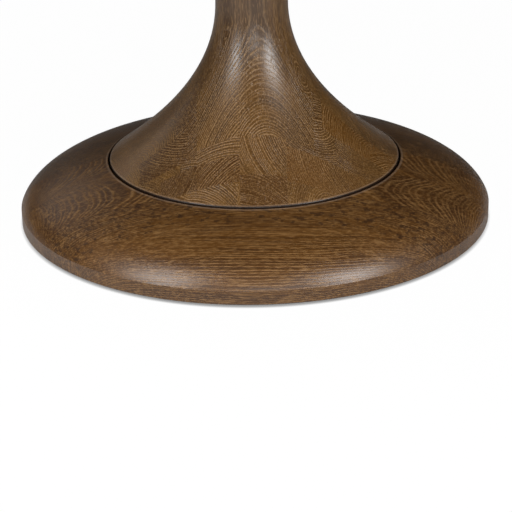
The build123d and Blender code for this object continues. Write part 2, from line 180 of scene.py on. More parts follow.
def planksGroup():
    # lays planks side by side across the grain, which runs along Z, and picks a pith for each
    inputs = [
        ("Position", "Vector", None),
        ("Plank Width", "Float", 0.1),
        ("Plank Depth", "Float", 0.1),
        ("Shift", "Vector", (0.0, 0.0, 0.0)),
        ("Stagger", "Float", 0.5),
        ("Pith Spread", "Float", 0.12),
        ("Pith Offset", "Vector", (0.0, 0.0, 0.0)),
        ("Seed", "Float", 0.0),
    ]
    tree, given, out = startGroup("planks", inputs, [("Pith", "Vector"), ("Chance", "Vector")])
    width, depth, seed = given["Plank Width"], given["Plank Depth"], given["Seed"]
    x, y, z = split(tree, calcVector(tree, "ADD", given["Position"], given["Shift"]))
    row = calc(tree, "FLOOR", calc(tree, "DIVIDE", y, depth))
    rowSeed = calc(tree, "ADD", row, seed)
    rowChance = put(tree, "ShaderNodeTexWhiteNoise", {"W": rowSeed}, noise_dimensions="1D")["Value"]
    slide = times(tree, rowChance, given["Stagger"], width)
    column = calc(tree, "FLOOR", calc(tree, "DIVIDE", calc(tree, "ADD", x, slide), width))
    chance = put(tree, "ShaderNodeTexWhiteNoise", {"Vector": join(tree, column, row, seed)})["Color"]
    middleX = calc(tree, "SUBTRACT", times(tree, calc(tree, "ADD", column, 0.5), width), slide)
    middleY = times(tree, calc(tree, "ADD", row, 0.5), depth)
    pith = calcVector(tree, "SUBTRACT", join(tree, middleX, middleY), given["Shift"])
    pith = calcVector(tree, "ADD", pith, given["Pith Offset"])
    fromMiddle = calcVector(tree, "SUBTRACT", chance, (0.5, 0.5, 0.5))
    stray = scaled(tree, fromMiddle, times(tree, given["Pith Spread"], 2.0))
    wire(tree, calcVector(tree, "ADD", pith, stray), out["Pith"])
    wire(tree, chance, out["Chance"])
    return tree


def chosenPlankGroup():
    # one plank of the cutting list: inside its box, its own pith and tone hold
    inputs = [
        ("Position", "Vector", None),
        ("Low", "Vector", None),
        ("High", "Vector", None),
        ("Other Pith", "Vector", None),
        ("Other Tone", "Vector", None),
        ("Pith", "Vector", None),
        ("Tone", "Vector", None),
    ]
    tree, given, out = startGroup("chosenPlank", inputs, [("Pith", "Vector"), ("Tone", "Vector")])
    over = split(tree, calcVector(tree, "SUBTRACT", given["Position"], given["Low"]))
    under = split(tree, calcVector(tree, "SUBTRACT", given["High"], given["Position"]))
    room = over[0]
    for distance in (over[1], under[0], under[1]):
        room = calc(tree, "MINIMUM", room, distance)
    inside = calc(tree, "GREATER_THAN", room, 0.0)
    wire(tree, blendVector(tree, inside, given["Other Pith"], given["Pith"]), out["Pith"])
    wire(tree, blendVector(tree, inside, given["Other Tone"], given["Tone"]), out["Tone"])
    return tree


woodFigure = {
    "sways": ((7.0, 5.0), (34.0, 0.9)),    # slow wander of the rings, then a ripple: noise scale, share
    "unevenScale": 80.0,                   # how quickly wide and narrow years change over
    "unevenYears": 1.6,
    "fadeScale": 13.0,                     # lines fade in and out over a few centimetres
    "dashScale": 480.0,                    # and break into dashes
    "speckleScale": 430.0,
    "alongDrift": 0.25,                    # how far each is drawn out along the grain, 1 being not at all
    "alongDash": 0.14,
    "alongFibre": 0.035,
    "rayAround": 46.0,                     # rays round the pith, outwards, and along the grain
    "rayOut": 60.0,
    "rayAlong": 42.0,
    "rayScale": 1.6,
    "bandScale": 42.0,
    "patchScale": 6.0,
    "paleCrest": (0.30, 0.98),             # part of a year's swing, from -1 to 1, that a line takes up
    "darkTrough": (-0.2, -0.95),
    "presence": (0.36, 0.56, 0.35, 1.0),   # from these noise values, to these shares of a line
    "dashes": (0.40, 0.60, 0.22, 1.0),
    "specks": (0.50, 0.66),
    "rayFlecks": (0.565, 0.625),
    "openPores": (0.60, 0.72),
    "poreDepth": 0.7,                      # shares of the relief
    "lineHeight": 0.6,
}


def growthGroup(figure):
    # yearly rings round a pith, with their pores, rays and slow changes of tone; the grain runs along Z
    inputs = [
        ("Position", "Vector", None),
        ("Pith", "Vector", None),
        ("Ring Spacing", "Float", 0.0033),
        ("Wander", "Float", 0.004),
        ("Fibre Scale", "Float", 130.0),
        ("Seed", "Float", 0.0),
    ]
    outputs = [("Line", "Float"), ("Dark Line", "Float"), ("Streak", "Float"), ("Speckle", "Float"),
               ("Rays", "Float"), ("Band", "Float"), ("Relief", "Float")]
    tree, given, out = startGroup("growth", inputs, outputs)
    x, y, z = split(tree, given["Position"])
    drift = join(tree, x, y, calc(tree, "MULTIPLY_ADD", z, figure["alongDrift"], given["Seed"]))
    place = given["Position"]
    for scale, share in figure["sways"]:
        sway = calcVector(tree, "SUBTRACT", noise(tree, drift, scale, 1.0)["Color"], (0.5, 0.5, 0.5))
        sway = scaled(tree, sway, times(tree, given["Wander"], share))
        place = calcVector(tree, "ADD", place, sway)
    pithX, pithY, _ = split(tree, calcVector(tree, "SUBTRACT", place, given["Pith"]))
    radius = lengthOf(tree, pithX, pithY)
    uneven = noiseAlong(tree, radius, figure["unevenScale"])
    years = calc(tree, "DIVIDE", radius, given["Ring Spacing"])
    years = calc(tree, "ADD", years, times(tree, uneven, figure["unevenYears"]))
    swing = calc(tree, "COSINE", times(tree, years, 2 * pi))
    # pale and dark lines of each year, which fade and break
    grit = join(tree, x, y, times(tree, z, figure["alongDash"]))
    dashes = noise(tree, grit, figure["dashScale"], 1.0)["Fac"]
    present = ramp(tree, noise(tree, drift, figure["fadeScale"], 2.0, 0.6)["Fac"], *figure["presence"])
    line = times(tree, ramp(tree, swing, *figure["paleCrest"]), present)
    wire(tree, times(tree, line, ramp(tree, dashes, *figure["dashes"])), out["Line"])
    wire(tree, times(tree, ramp(tree, swing, *figure["darkTrough"]), present), out["Dark Line"])
    # fibres and open pores drawn out along the grain
    fibre = join(tree, x, y, calc(tree, "MULTIPLY_ADD", z, figure["alongFibre"], given["Seed"]))
    streak = noise(tree, fibre, given["Fibre Scale"], 3.0, 0.75)["Fac"]
    wire(tree, streak, out["Streak"])
    specks = noise(tree, grit, figure["speckleScale"], 1.0, 0.6)["Fac"]
    wire(tree, ramp(tree, specks, *figure["specks"]), out["Speckle"])
    # rays: thin sheets that run out from the pith, seen as flecks on quartered faces
    angle = calc(tree, "ARCTAN2", pithY, pithX)
    sheet = join(tree, times(tree, angle, figure["rayAround"]), times(tree, radius, figure["rayOut"]),
                 times(tree, z, figure["rayAlong"]))
    flecks = noise(tree, sheet, figure["rayScale"], 2.0, 0.6)["Fac"]
    wire(tree, ramp(tree, flecks, *figure["rayFlecks"]), out["Rays"])
    # slow changes of tone, half by the years and half by place
    band = noiseAlong(tree, radius, figure["bandScale"])
    patch = noise(tree, drift, figure["patchScale"], 3.0, 0.55)["Fac"]
    wire(tree, calc(tree, "MULTIPLY_ADD", band, 0.5, times(tree, patch, 0.5)), out["Band"])
    pores = times(tree, ramp(tree, streak, *figure["openPores"]), figure["poreDepth"])
    wire(tree, calc(tree, "SUBTRACT", times(tree, line, figure["lineHeight"]), pores), out["Relief"])
    return tree


planks = planksGroup()
chosenPlank = chosenPlankGroup()
growth = growthGroup(woodFigure)
print("wood groups made")


def newMaterial(name):
    material = bpy.data.materials.new(name)
    material.use_nodes = True
    tree = material.node_tree
    return material, tree, tree.nodes["Principled BSDF"].inputs


def placeOnPiece(tree):
    return put(tree, "ShaderNodeTexCoord")["Object"]


def finishSurface(tree, surface, colour, roughness, relief, values):
    wire(tree, colour, surface["Base Color"])
    wire(tree, roughness, surface["Roughness"])
    bump = put(tree, "ShaderNodeBump", {
        "Strength": values["reliefStrength"],
        "Distance": values["reliefDepth"],
        "Height": relief,
    })
    wire(tree, bump["Normal"], surface["Normal"])


def makeOak(name, values, cuttingList=()):
    material, tree, surface = newMaterial(name)
    place = placeOnPiece(tree)
    x, y, z = split(tree, place)
    fromAxis = lengthOf(tree, x, y)
    grain = join(tree, y, z, x) if values["grain"] == "x" else place    # turned to run along the group's Z
    dealt = useGroup(tree, planks, {"Position": grain}, values)
    pith, tone = dealt["Pith"], dealt["Chance"]
    for plank in cuttingList:
        dealt = useGroup(tree, chosenPlank, {
            "Position": grain,
            "Low": (*plank["low"], 0),
            "High": (*plank["high"], 0),
            "Other Pith": pith,
            "Other Tone": tone,
            "Pith": (*plank["pith"], 0),
            "Tone": plank["tone"],
        })
        pith, tone = dealt["Pith"], dealt["Tone"]
    wood = useGroup(tree, growth, {"Position": grain, "Pith": pith}, values)
    warmth, depth, quartered = split(tree, tone)
    calmer = ramp(tree, z, *values["calmHeight"], 1.0, values["calm"])
    paleLine = times(tree, wood["Line"], calmer)
    # a pale line along the edges beside the groove: finish rubbed thin, and painted highlight for light
    # caught on the rounded edges
    rubbed = 1.0
    for along, key in ((z, "rubbedHeight"), (fromAxis, "rubbedRadius")):
        begins, full, stillFull, ends = values[key]
        rubbed = times(tree, rubbed, ramp(tree, along, begins, full), ramp(tree, along, ends, stillFull))
    # painted shade: the groove round the foot is coloured near black, standing in for the shadow in the
    # narrow gap
    pooled = times(tree, ramp(tree, z, *values["poolHeight"]), ramp(tree, fromAxis, *values["poolRadius"]))
    colour = blend(tree, ramp(tree, wood["Band"], *values["bandSpread"]), values["dark"], values["brown"])
    for mask, strength, stain in (
        (ramp(tree, warmth, *values["warmFrom"]), "warmStrength", "orange"),
        (ramp(tree, depth, *values["deepFrom"]), "deepStrength", "deep"),
        (times(tree, wood["Dark Line"], calmer), "darkLineStrength", "deep"),
        (ramp(tree, wood["Streak"], *values["deepStreaks"]), "streakStrength", "deep"),
        (ramp(tree, wood["Streak"], *values["lightStreaks"]), "streakStrength", "light"),
        (wood["Speckle"], "speckleStrength", "light"),
        (paleLine, "lineStrength", "light"),
        (times(tree, wood["Rays"], ramp(tree, quartered, *values["quarteredFrom"])), "rayStrength", "ray"),
        (pooled, "pooledStrength", "pooled"),
        (rubbed, "rubbedStrength", "rubbed"),
    ):
        colour = blend(tree, times(tree, mask, values[strength]), colour, values[stain])
    roughness = blendValue(tree, paleLine, values["roughness"], values["lineRoughness"])
    finishSurface(tree, surface, colour, roughness, wood["Relief"], values)
    surface["IOR"].default_value = values["ior"]
    surface["Specular IOR Level"].default_value = values["gloss"]
    return material


pedestalWood = {
    "grain": "z",
    "plankWidth": 0.092,
    "plankDepth": 0.058,
    "shift": (0.027, 0.0, 0.0),
    "stagger": 0.35,
    "pithSpread": 0.12,
    "pithOffset": (0.0, 0.0, 0.0),
    "seed": 4.0,
    "ringSpacing": 0.0040,
    "wander": 0.0024,
    "fibreScale": 280.0,
    "dark": (0.054, 0.024, 0.005, 1),
    "brown": (0.100, 0.046, 0.009, 1),
    "orange": (0.094, 0.036, 0.003, 1),
    "deep": (0.045, 0.018, 0.004, 1),
    "light": (0.240, 0.135, 0.050, 1),
    "ray": (0.240, 0.135, 0.050, 1),
    "warmStrength": 0.9,
    "deepStrength": 0.9,
    "darkLineStrength": 0.45,
    "streakStrength": 0.35,
    "speckleStrength": 0.40,
    "lineStrength": 1.0,
    "rayStrength": 0.35,
    "roughness": 0.32,
    "lineRoughness": 0.65,
    "gloss": 0.62,
    "ior": 1.5,
    "reliefStrength": 0.5,
    "reliefDepth": 0.0009,
    # painted shade: near black in the groove round the foot, for the shadow in the gap
    "pooled": (0.012, 0.005, 0.002, 1),
    "pooledStrength": 1.0,
    "calm": 0.3,                       # share of the lines left up the neck
    "calmHeight": (0.365, 0.425),
    # pale line of rubbed finish and painted highlight along the foot's edge beside the groove
    "rubbed": (0.300, 0.225, 0.165, 1),
    "rubbedStrength": 0.25,
    "rubbedHeight": (0.1205, 0.1208, 0.1216, 0.1224),    # begins, full, still full, ends
    "rubbedRadius": (0.2700, 0.2710, 0.2900, 0.2910),
    "poolHeight": (0.1206, 0.1202),    # clear at the first, dark at the second
    "poolRadius": (0.2790, 0.2800),
    "bandSpread": (0.41, 0.57),        # slow changes of tone, from dark to brown
    "warmFrom": (0.5, 1.0),            # plank tones that take the stain more orange, or deeper
    "deepFrom": (0.5, 1.0),
    "deepStreaks": (0.50, 0.36),       # fibres below the first are deeper, and above it lighter
    "lightStreaks": (0.54, 0.68),
    "quarteredFrom": (0.6, 0.9),       # plank tones that show their rays
}
# planks chosen for the pedestal's front: metres across, from the axis; tone is warmth, depth, quartered
pedestalPlanks = [
    {"low": (-0.107, -0.165), "high": (-0.027, -0.060), "pith": (0.000, -0.205), "tone": (0.30, 0.30, 0.2)},
    {"low": (-0.027, -0.165), "high": (0.112, -0.060), "pith": (0.030, -0.203), "tone": (0.45, 0.20, 0.2)},
    {"low": (-0.027, -0.225), "high": (0.060, -0.165), "pith": (0.150, -0.110), "tone": (0.60, 0.60, 0.2)},
    {"low": (-0.107, -0.192), "high": (-0.027, -0.165), "pith": (-0.065, -0.420), "tone": (0.55, 0.60, 0.2)},
    {"low": (-0.107, -0.235), "high": (-0.027, -0.192), "pith": (0.015, -0.330), "tone": (1.00, 0.85, 0.2)},
    {"low": (-0.175, -0.235), "high": (-0.107, -0.190), "pith": (-0.270, -0.130), "tone": (0.80, 1.00, 0.2)},
    {"low": (-0.027, -0.300), "high": (0.060, -0.225), "pith": (-0.060, -0.420), "tone": (0.90, 0.90, 0.2)},
    {"low": (0.076, -0.078), "high": (0.108, -0.036), "pith": (0.091, -0.056), "tone": (0.60, 0.75, 0.2)},
]

baseWood = dict(pedestalWood)
baseWood.update({
    "grain": "x",
    "plankWidth": 0.115,
    "plankDepth": 0.30,
    "shift": (0.0, 0.1, 0.0),
    "stagger": 0.0,
    "pithSpread": 0.05,
    "pithOffset": (0.30, -0.04, 0.0),
    "seed": 11.0,
    "ringSpacing": 0.0042,
    "wander": 0.0050,
    "fibreScale": 115.0,
    "dark": (0.044, 0.016, 0.0025, 1),
    "brown": (0.074, 0.029, 0.004, 1),
    "orange": (0.108, 0.041, 0.005, 1),
    "deep": (0.034, 0.014, 0.004, 1),
    "light": (0.200, 0.106, 0.036, 1),
    "ray": (0.022, 0.009, 0.003, 1),
    "rayStrength": 0.9,
    "streakStrength": 0.50,
    "speckleStrength": 0.42,
    "lineStrength": 0.80,
    "darkLineStrength": 0.60,
    "gloss": 0.55,
    "roughness": 0.37,
    "lineRoughness": 0.50,
    "reliefStrength": 0.25,
    "calm": 1.0,
    # the same pale line of rubbed finish and painted highlight, on the base's lip beside the groove
    "rubbedHeight": (0.1120, 0.1130, 0.1240, 0.1250),
    "rubbedRadius": (0.2856, 0.2862, 0.2882, 0.2900),
    # where the base's groove wall takes the painted shade
    "poolHeight": (0.1178, 0.1168),
    "poolRadius": (0.2860, 0.2850),
})
# boards chosen for the base's front: across the grain, then height
basePlanks = [
    {"low": (-0.500, -0.1), "high": (-0.325, 0.2), "pith": (-0.445, -0.060), "tone": (0.60, 0.30, 0.3)},
    {"low": (-0.325, -0.1), "high": (-0.230, 0.2), "pith": (0.150, 0.020), "tone": (0.40, 0.30, 0.82)},
    {"low": (-0.230, -0.1), "high": (-0.115, 0.2), "pith": (-0.150, -0.060), "tone": (0.45, 0.35, 0.2)},
    {"low": (-0.115, -0.1), "high": (0.000, 0.2), "pith": (-0.020, -0.050), "tone": (0.60, 0.45, 0.3)},
]

topWood = dict(baseWood)
topWood.update({
    "seed": 23.0,
    "plankWidth": 0.105,
    "shift": (0.0, 0.0, 0.0),
    "pithSpread": 0.1,
    "gloss": 0.22,             # the top is finished duller, for use
    "roughness": 0.60,
    "lineRoughness": 0.70,
})

pedestalOak = makeOak("pedestalOak", pedestalWood, pedestalPlanks)
baseOak = makeOak("baseOak", baseWood, basePlanks)
topOak = makeOak("topOak", topWood)
print("oak made")

# finishes of the hardware and the hidden wood


wearFigure = {
    "edgeTurn": (0.985, 0.90),    # how far the rounded normal must lean from the flat one
    "patchScale": 260.0,
    "patches": (0.42, 0.60),
    "smudges": (0.40, 0.62),
    "gritScale": 1900.0,
}


def wearGroup(figure):
    # where edges have rubbed bright, and slow smudges of handling over the rest
    inputs = [("Position", "Vector", None), ("Edge Radius", "Float", 0.0008), ("Smudge Scale", "Float", 60.0)]
    tree, given, out = startGroup("wear", inputs, [("Edge", "Float"), ("Smudge", "Float"), ("Grit", "Float")])
    rounded = put(tree, "ShaderNodeBevel", {"Radius": given["Edge Radius"]}, samples=4)[0]
    flat = put(tree, "ShaderNodeNewGeometry")["Normal"]
    likeness = put(tree, "ShaderNodeVectorMath", {0: rounded, 1: flat}, operation="DOT_PRODUCT")["Value"]
    patches = noise(tree, given["Position"], figure["patchScale"], 2.0, 0.6)["Fac"]
    patches = ramp(tree, patches, *figure["patches"])
    wire(tree, times(tree, ramp(tree, likeness, *figure["edgeTurn"]), patches), out["Edge"])
    smudges = noise(tree, given["Position"], given["Smudge Scale"], 3.0)["Fac"]
    wire(tree, ramp(tree, smudges, *figure["smudges"]), out["Smudge"])
    wire(tree, noise(tree, given["Position"], figure["gritScale"], 1.0)["Fac"], out["Grit"])
    return tree


wear = wearGroup(wearFigure)


def makeHardware(name, values):
    material, tree, surface = newMaterial(name)
    worn = useGroup(tree, wear, {"Position": placeOnPiece(tree)}, values)
    colour = blend(tree, worn["Smudge"], values["colour"], values["smudged"])
    colour = blend(tree, worn["Edge"], colour, values["rubbed"])
    roughness = blendValue(tree, worn["Smudge"], values["roughness"], values["smudgedRoughness"])
    finishSurface(tree, surface, colour, roughness, worn["Grit"], values)
    surface["Metallic"].default_value = values["metallic"]
    return material


hardware = {
    "black_steel": {           # powder coat
        "colour": (0.016, 0.016, 0.017, 1),
        "smudged": (0.024, 0.023, 0.023, 1),
        "rubbed": (0.075, 0.072, 0.070, 1),
        "metallic": 0.0, "roughness": 0.46, "smudgedRoughness": 0.58,
        "edgeRadius": 0.0010, "smudgeScale": 22.0, "reliefStrength": 0.5, "reliefDepth": 0.0002,
    },
    "black_zinc": {
        "colour": (0.060, 0.061, 0.066, 1),
        "smudged": (0.085, 0.082, 0.080, 1),
        "rubbed": (0.40, 0.40, 0.41, 1),
        "metallic": 1.0, "roughness": 0.34, "smudgedRoughness": 0.48,
        "edgeRadius": 0.0005, "smudgeScale": 140.0, "reliefStrength": 0.25, "reliefDepth": 0.00006,
    },
    "zinc_steel": {
        "colour": (0.58, 0.59, 0.61, 1),
        "smudged": (0.50, 0.49, 0.46, 1),
        "rubbed": (0.72, 0.73, 0.75, 1),
        "metallic": 1.0, "roughness": 0.26, "smudgedRoughness": 0.42,
        "edgeRadius": 0.0005, "smudgeScale": 120.0, "reliefStrength": 0.25, "reliefDepth": 0.00006,
    },
    "nylon": {
        "colour": (0.028, 0.027, 0.026, 1),
        "smudged": (0.042, 0.040, 0.038, 1),
        "rubbed": (0.10, 0.098, 0.094, 1),
        "metallic": 0.0, "roughness": 0.42, "smudgedRoughness": 0.55,
        "edgeRadius": 0.0008, "smudgeScale": 90.0, "reliefStrength": 0.5, "reliefDepth": 0.00012,
    },
}


def makePly(name, values):
    # thin sheets glued crosswise: each ply shows long grain or end grain at the edge
    material, tree, surface = newMaterial(name)
    x, y, z = split(tree, placeOnPiece(tree))
    sheet = calc(tree, "DIVIDE", z, values["plyThickness"])
    crossed = calc(tree, "MODULO", calc(tree, "FLOOR", sheet), 2.0)
    through = times(tree, z, values["throughGrain"])
    along = join(tree, times(tree, x, values["alongGrain"]), y, through)
    across = join(tree, x, times(tree, y, values["alongGrain"]), through)
    grain = noise(tree, blendVector(tree, crossed, along, across), values["grainScale"], 2.0, 0.6)["Fac"]
    colour = blend(tree, ramp(tree, grain, *values["grainSpread"]), values["dark"], values["pale"])
    glueLine = ramp(tree, calc(tree, "PINGPONG", sheet, 0.5), values["glueShare"], 0.0)
    colour = blend(tree, glueLine, colour, values["glue"])
    roughness = ramp(tree, grain, 0.3, 0.7, *values["roughness"])
    finishSurface(tree, surface, colour, roughness, grain, values)
    return material


plywood = {
    "plyThickness": 0.0028,
    "glueShare": 0.06,         # of each ply
    "grainScale": 420.0,
    "alongGrain": 0.05,        # how far the grain is drawn out
    "throughGrain": 4.0,
    "grainSpread": (0.35, 0.65),
    "roughness": (0.62, 0.78),
    "reliefStrength": 0.4,
    "reliefDepth": 0.0003,
    "pale": (0.56, 0.40, 0.24, 1),
    "dark": (0.40, 0.26, 0.14, 1),
    "glue": (0.16, 0.085, 0.04, 1),
}


def makeBeech(name, values):
    material, tree, surface = newMaterial(name)
    x, y, z = split(tree, placeOnPiece(tree))
    grain = join(tree, x, y, times(tree, z, values["alongGrain"]))
    fibre = noise(tree, grain, values["grainScale"], 2.0, 0.6)["Fac"]
    grain = join(tree, x, y, times(tree, z, values["alongFleck"]))
    fleck = noise(tree, grain, values["fleckScale"], 0.0)["Fac"]
    colour = blend(tree, ramp(tree, fibre, *values["grainSpread"]), values["dark"], values["pale"])
    colour = blend(tree, ramp(tree, fleck, *values["flecks"]), colour, values["fleck"])
    roughness = ramp(tree, fibre, 0.3, 0.7, *values["roughness"])
    finishSurface(tree, surface, colour, roughness, fibre, values)
    return material


beech = {
    "grainScale": 700.0,
    "alongGrain": 0.06,        # how far the grain and the flecks are drawn out
    "grainSpread": (0.35, 0.65),
    "fleckScale": 900.0,
    "alongFleck": 0.3,
    "flecks": (0.66, 0.72),
    "roughness": (0.55, 0.7),
    "reliefStrength": 0.4,
    "reliefDepth": 0.0002,
    "pale": (0.62, 0.43, 0.27, 1),
    "dark": (0.50, 0.32, 0.18, 1),
    "fleck": (0.30, 0.16, 0.08, 1),
}

finishes = {name: makeHardware(name, values) for name, values in hardware.items()}
finishes["plywood"] = makePly("plywood", plywood)
finishes["beech"] = makeBeech("beech", beech)
finishes["pedestal_oak"] = pedestalOak
finishes["base_oak"] = baseOak
finishes["top_oak"] = topOak
slotOf = {part["node"]: part["material_slot"] for part in frame["record"]["subparts"]}
for node, piece in frame["nodes"].items():
    piece.data.materials[0] = finishes[slotOf[node]]
print("finishes given to the CAD nodes")

# turned work: a profile curve swept round the table's axis

turnedSizes = [("Profile", "Geometry", None), ("Steps Around", "Int", 256), ("Closed", "Int", 1)]
closeness = {                  # points nearer than this are made one
    "turned": 0.00001,
    "cut": 0.00003,
    "threaded": 0.00005,
}
drillSteps = 64


def weld(tree, mesh, distance):
    return put(tree, "GeometryNodeMergeByDistance", {"Geometry": mesh, "Distance": distance})[0]


def shifted(tree, mesh, step):
    return put(tree, "GeometryNodeTransform", {"Geometry": mesh, "Translation": step})[0]


def turningGroup():
    # the profile's points laid out on a grid and carried round Z; a closed profile meets itself
    tree, given, out = startGroup("turning", turnedSizes, [("Mesh", "Geometry")], "GeometryNodeTree")

    def whole(operation, a, b):
        return put(tree, "FunctionNodeIntegerMath", {0: a, 1: b}, operation=operation)[0]

    line = put(tree, "GeometryNodeCurveToMesh", {"Curve": given["Profile"]})["Mesh"]
    count = put(tree, "GeometryNodeAttributeDomainSize", {"Geometry": line})["Point Count"]
    rows = whole("ADD", count, given["Closed"])
    grid = put(tree, "GeometryNodeMeshGrid", {
        "Vertices X": whole("ADD", given["Steps Around"], 1),
        "Vertices Y": rows,
    })["Mesh"]
    index = put(tree, "GeometryNodeInputIndex")[0]
    point = put(tree, "GeometryNodeSampleIndex", {
        "Geometry": line,
        "Value": put(tree, "GeometryNodeInputPosition")[0],
        "Index": whole("MODULO", whole("MODULO", index, rows), count),
    }, data_type="FLOAT_VECTOR", domain="POINT")["Value"]
    radius, _, height = split(tree, point)
    step = whole("DIVIDE_FLOOR", index, rows)
    angle = calc(tree, "DIVIDE", times(tree, step, 2 * pi), given["Steps Around"])
    swept = join(tree, times(tree, radius, calc(tree, "COSINE", angle)),
                 times(tree, radius, calc(tree, "SINE", angle)), height)
    mesh = put(tree, "GeometryNodeSetPosition", {"Geometry": grid, "Position": swept})[0]
    wire(tree, weld(tree, mesh, closeness["turned"]), out["Mesh"])
    return tree


def creasingGroup():
    # smooth all over but for edges sharper than the crease, then given its finish
    inputs = [("Mesh", "Geometry", None), ("Crease", "Float", radians(24)), ("Finish", "Material", None)]
    tree, given, out = startGroup("creasing", inputs, [("Piece", "Geometry")], "GeometryNodeTree")
    bend = put(tree, "GeometryNodeInputMeshEdgeAngle")["Unsigned Angle"]
    sharp = put(tree, "FunctionNodeCompare", {0: bend, 1: given["Crease"]}, operation="GREATER_THAN")[0]
    mesh = given["Mesh"]
    for domain, chosen, smooth in (("FACE", True, True), ("EDGE", sharp, False)):
        shading = {"Geometry": mesh, "Selection": chosen, "Shade Smooth": smooth}
        mesh = put(tree, "GeometryNodeSetShadeSmooth", shading, domain=domain)[0]
    mesh = put(tree, "GeometryNodeRealizeInstances", {0: mesh})[0]
    mesh = put(tree, "GeometryNodeSetMaterial", {"Geometry": mesh, "Material": given["Finish"]})[0]
    wire(tree, mesh, out["Piece"])
    return tree


turning = turningGroup()
creasing = creasingGroup()


def passOn(given, sizes):
    return {label: given[label] for label, form, value in sizes}


def startPiece(name, sizes=()):
    # a tree that turns its profile; the pieces' own sizes come after the turning's
    inputs = [*turnedSizes, *sizes, ("Finish", "Material", None)]
    tree, given, out = startGroup(name, inputs, [("Piece", "Geometry")], "GeometryNodeTree")
    return tree, given, out, useGroup(tree, turning, passOn(given, turnedSizes))["Mesh"]


def endPiece(tree, given, out, mesh):
    wire(tree, useGroup(tree, creasing, {"Mesh": mesh, "Finish": given["Finish"]})["Piece"], out["Piece"])
    return tree


def turnedTree(name, sizes=(), cutters=None):
    tree, given, out, mesh = startPiece(name, sizes)
    if cutters is not None:
        meshes = {0: mesh, 1: cutters(tree, given)}
        mesh = put(tree, "GeometryNodeMeshBoolean", meshes, operation="DIFFERENCE", solver="MANIFOLD")["Mesh"]
        mesh = weld(tree, mesh, closeness["cut"])
    return endPiece(tree, given, out, mesh)


def wellCutters(tree, given):
    # drills in a ring, one for each levelling foot, which break out through the underside
    ring = {"Vertices": given["Well Count"], "Radius": given["Well Circle Radius"]}
    drill = put(tree, "GeometryNodeMeshCylinder", {
        "Vertices": drillSteps,
        "Radius": given["Well Radius"],
        "Depth": times(tree, given["Well Depth"], 2.0),
    })["Mesh"]
    wells = put(tree, "GeometryNodeInstanceOnPoints", {
        "Points": put(tree, "GeometryNodeMeshCircle", ring)[0],
        "Instance": drill,
    })[0]
    wells = shifted(tree, wells, join(tree, 0, 0, given["Underside"]))
    return put(tree, "GeometryNodeRealizeInstances", {0: wells})[0]


def slotCutters(tree, given):
    # a router's slot on each side of the middle, for the steel channels
    size = join(tree, given["Slot Width"], given["Slot Length"], times(tree, given["Slot Depth"], 2.0))
    block = put(tree, "GeometryNodeMeshCube", {"Size": size})["Mesh"]
    slots = tree.nodes.new("GeometryNodeJoinGeometry")
    for side in (-1, 1):
        place = join(tree, times(tree, given["Slot Offset"], side), 0, given["Underside"])
        tree.links.new(shifted(tree, block, place), slots.inputs[0])
    return slots.outputs[0]


turned = turnedTree("turned")
turnedWithWells = turnedTree("turnedWithWells", [
    ("Underside", "Float", 0.0),
    ("Well Count", "Int", 6),
    ("Well Circle Radius", "Float", 0.4),
    ("Well Radius", "Float", 0.02),
    ("Well Depth", "Float", 0.014),
], wellCutters)
turnedWithSlots = turnedTree("turnedWithSlots", [
    ("Underside", "Float", 0.0),
    ("Slot Offset", "Float", 0.3),
    ("Slot Width", "Float", 0.05),
    ("Slot Length", "Float", 1.0),
    ("Slot Depth", "Float", 0.014),
], slotCutters)


def aim(angle, reach):
    return Vector((cos(radians(angle)), sin(radians(angle)))) * reach


def corner(radius, height, arrive=None, leave=None):
    # arrive and leave are the curve's handles, as steps from the corner; without one it runs straight
    return Vector((radius, height)), arrive, leave


def easedCorner(radius, height, arriving, leaving, easing, arrive=0.0, leave=0.0):
    # an edge taken off by a small arc between two directions, in degrees, in the order the profile runs
    turn = radians(abs(leaving - arriving))
    back = easing * tan(turn / 2)
    pull = easing * tan(turn / 4) * 4 / 3
    middle = Vector((radius, height))
    before = -aim(arriving, arrive - back) if arrive else None
    after = aim(leaving, leave - back) if leave else None
    return [
        (middle - aim(arriving, back), before, aim(arriving, pull)),
        (middle + aim(leaving, back), -aim(leaving, pull), after),
    ]


def makeProfile(name, corners, closed, steps):
    data = bpy.data.curves.new(name, "CURVE")
    data.dimensions = "3D"
    spline = data.splines.new("BEZIER")
    spline.bezier_points.add(len(corners) - 1)
    spline.resolution_u = steps
    spline.use_cyclic_u = closed
    for point, (place, arrive, leave) in zip(spline.bezier_points, corners):
        point.co = (place.x, 0, place.y)
        for side, handle in (("left", arrive), ("right", leave)):
            setattr(point, f"handle_{side}_type", "VECTOR" if handle is None else "FREE")
            if handle is not None:
                setattr(point, f"handle_{side}", (place.x + handle.x, 0, place.y + handle.y))
    return bpy.data.objects.new(name, data)


def makePiece(name, corners, closed, shape, group, **sizes):
    # runs a geometry tree on a profile and keeps the result as a plain mesh
    source = makeProfile(name + "Profile", corners, closed, shape["profileSteps"])
    bpy.context.scene.collection.objects.link(source)
    modifier = source.modifiers.new(name, "NODES")
    modifier.node_group = group
    sizes = {**shape, **sizes, "closed": int(closed)}
    for socket in group.interface.items_tree:
        if socket.in_out == "INPUT" and socket.socket_type != "NodeSocketGeometry":
            modifier[socket.identifier] = sizes[keyOf(socket.name)]
    depsgraph = bpy.context.evaluated_depsgraph_get()
    mesh = bpy.data.meshes.new_from_object(source.evaluated_get(depsgraph), depsgraph=depsgraph)
    mesh.name = name
    bpy.data.objects.remove(source)
    piece = bpy.data.objects.new(name, mesh)
    bpy.context.scene.collection.objects.link(piece)
    return piece


def standIn(piece, node, body):
    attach(piece, body)
    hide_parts(node)


baseLow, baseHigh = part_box("base_disc")
pedestalLow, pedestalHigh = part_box("pedestal")
topLow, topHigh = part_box("tabletop")
_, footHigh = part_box("foot_block")
headLow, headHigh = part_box("head_block")
_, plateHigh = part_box("base_plate")
channelLow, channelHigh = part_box("stiffener_channel_right")
padLow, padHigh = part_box("leveller_pad_1")

